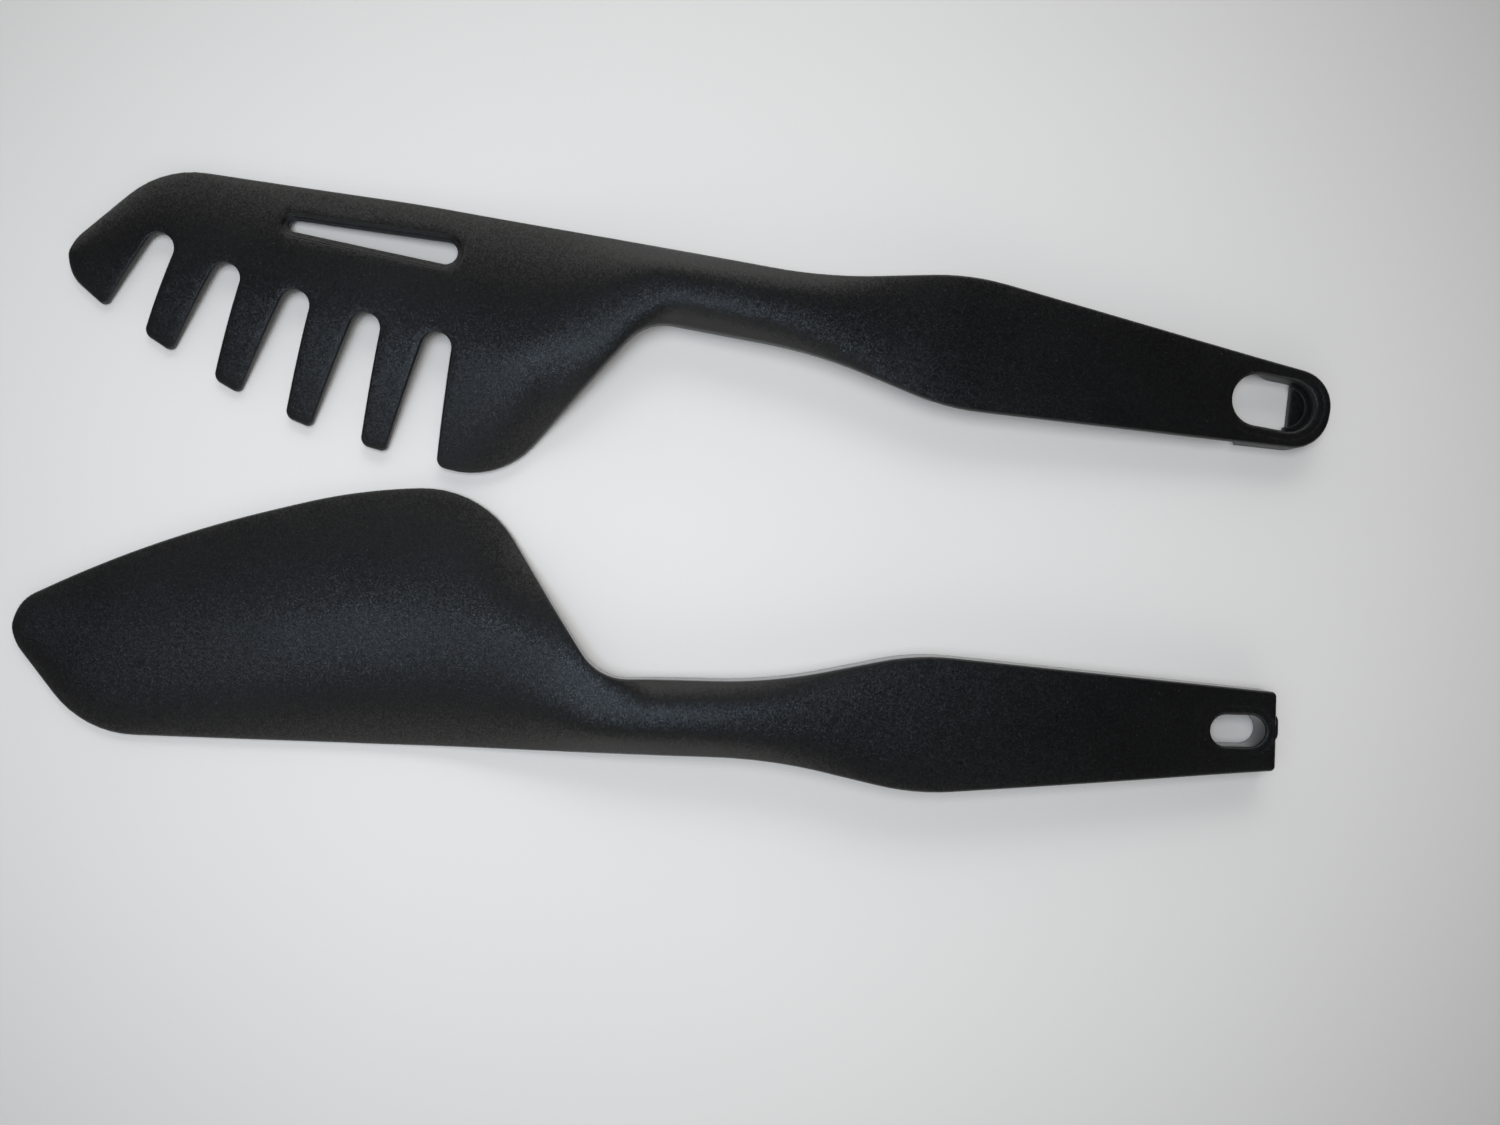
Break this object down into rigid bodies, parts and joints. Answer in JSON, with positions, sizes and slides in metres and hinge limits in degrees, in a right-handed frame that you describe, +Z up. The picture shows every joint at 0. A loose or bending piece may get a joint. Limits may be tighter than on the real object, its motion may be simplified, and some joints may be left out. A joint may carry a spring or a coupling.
{
  "type": "two-piece kitchen tongs",
  "caption": "Black nylon pasta fork and spatula that clip together at their tails to make tongs, laid side by side with their outer faces up.",
  "frame": {"origin": "on the table, under the middle of the pair's bounding box", "axes": "+X along the handles toward the tails, +Y from the spatula toward the pasta fork, +Z up out of the outer faces"},
  "size_m": [0.3196, 0.1498, 0.0148],
  "materials": {
    "fork_nylon": "satin, fine spark-eroded grain on the outer face and smoother side walls",
    "spatula_nylon": "satin, fine spark-eroded grain on the outer face and smoother side walls"
  },
  "bodies": {
    "pasta_fork": {"pasta_fork": "fork_nylon"},
    "spatula": {"spatula": "spatula_nylon"}
  },
  "joints": [
    {"name": "spatula_lift", "type": "slide", "parent": "pasta_fork", "child": "spatula", "axis": [0, 0, 1], "range_m": [0, 0.06]}
  ]
}
